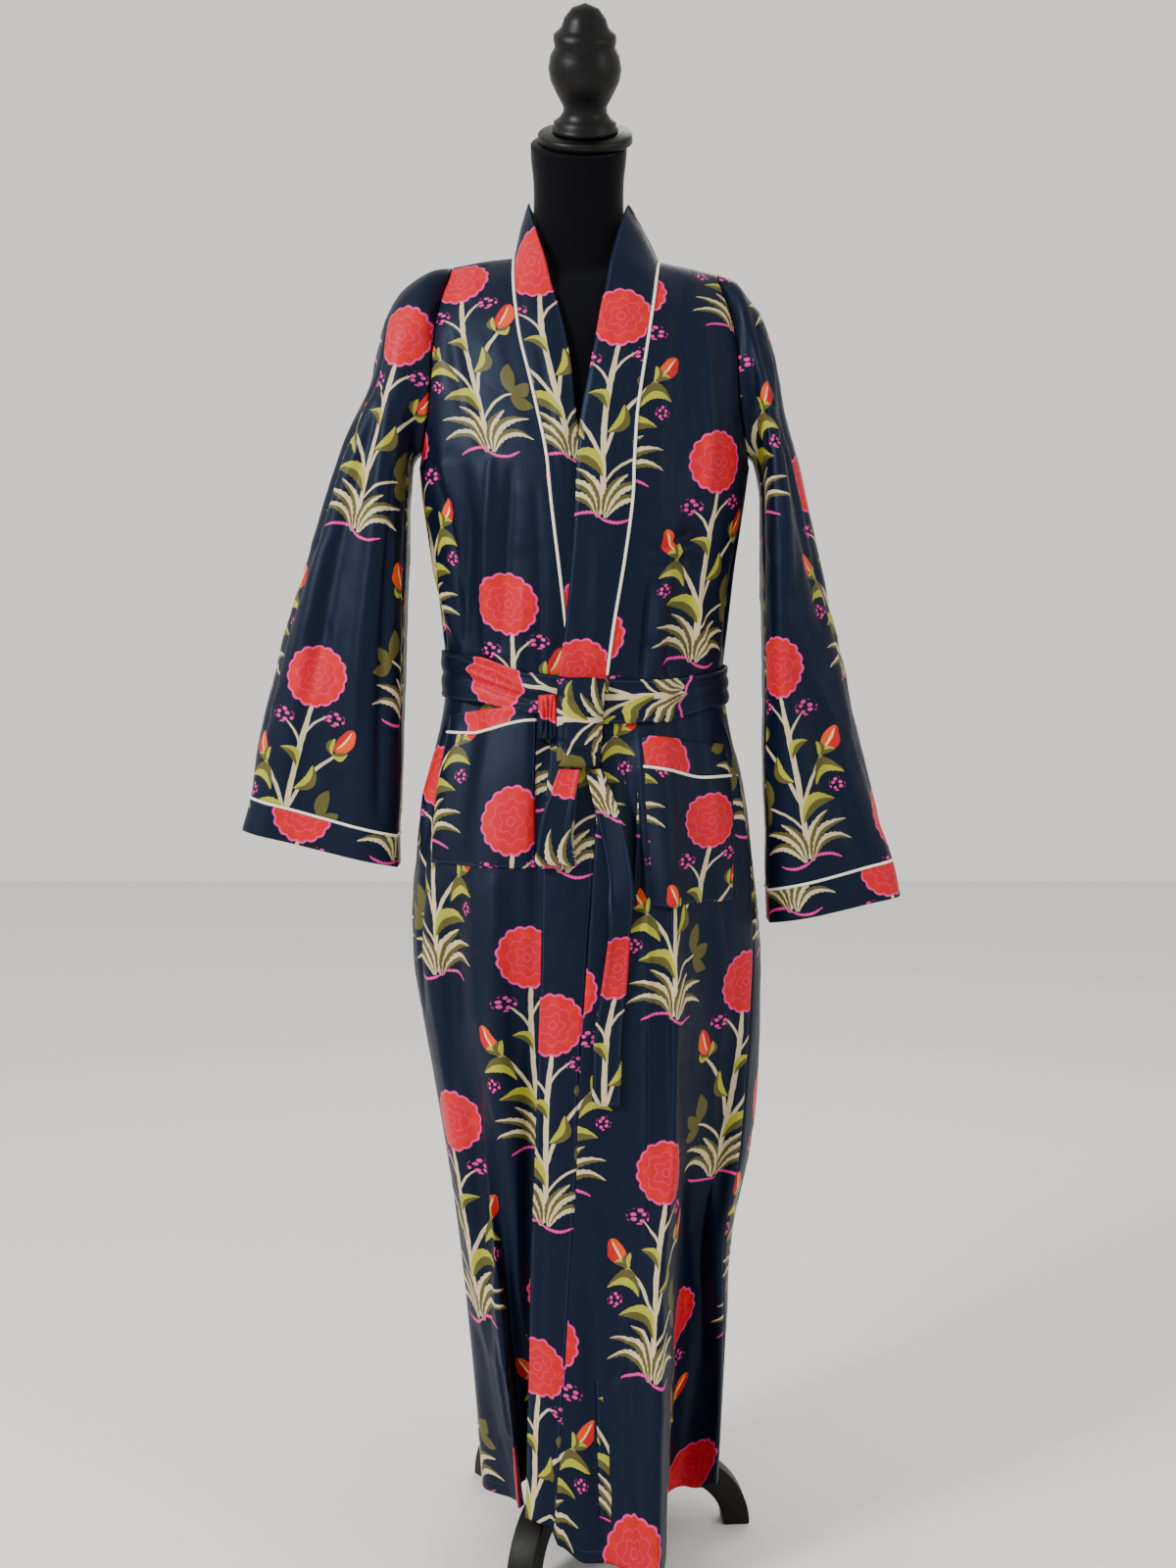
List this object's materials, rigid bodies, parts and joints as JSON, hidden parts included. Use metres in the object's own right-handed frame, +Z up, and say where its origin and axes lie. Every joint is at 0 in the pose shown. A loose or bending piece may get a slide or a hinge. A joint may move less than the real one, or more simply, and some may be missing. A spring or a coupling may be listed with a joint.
{
  "type": "cotton kimono robe on a limbless dress form",
  "caption": "Full-length wrap robe in floral printed cotton with wide sleeves, neck band, piping, pockets and a tied belt, worn on a dress form with a finial and a legged stand.",
  "frame": {"origin": "bottom centre of the whole part's bounding box, on the floor that the feet stand on", "axes": "+Z up; the robe's front looks along -Y, so +X is on the right of someone who faces it"},
  "size_m": [0.72, 0.3444, 1.6577],
  "materials": {
    "printed_cotton": "matt navy cotton with a printed pattern of flowers and leaves",
    "cream_piping": "matt cream piping cord in the seams",
    "black_velvet": "black velvet cover",
    "turned_wood": "dark charcoal stained turned wood, satin",
    "black_wood": "black painted wood, satin"
  },
  "bodies": {
    "root": {"back": "printed_cotton", "front_left": "printed_cotton", "front_right": "printed_cotton", "band_left": "printed_cotton", "band_right": "printed_cotton", "band_neck": "printed_cotton", "sleeve_left": "printed_cotton", "sleeve_right": "printed_cotton", "cuff_left": "printed_cotton", "cuff_right": "printed_cotton", "pocket_left": "printed_cotton", "pocket_right": "printed_cotton", "pocket_band_left": "printed_cotton", "pocket_band_right": "printed_cotton", "belt_waist": "printed_cotton", "belt_wrap": "printed_cotton", "belt_knot": "printed_cotton", "belt_loop": "printed_cotton", "belt_tail": "printed_cotton", "piping_neck": "cream_piping", "piping_band_left": "cream_piping", "piping_band_right": "cream_piping", "piping_cuff_left": "cream_piping", "piping_cuff_right": "cream_piping", "piping_pocket_left": "cream_piping", "piping_pocket_right": "cream_piping", "form_torso": "black_velvet", "neck_cap": "turned_wood", "finial": "turned_wood", "pole": "black_wood", "hub": "black_wood", "leg_1": "black_wood", "leg_2": "black_wood", "leg_3": "black_wood"}
  },
  "joints": []
}
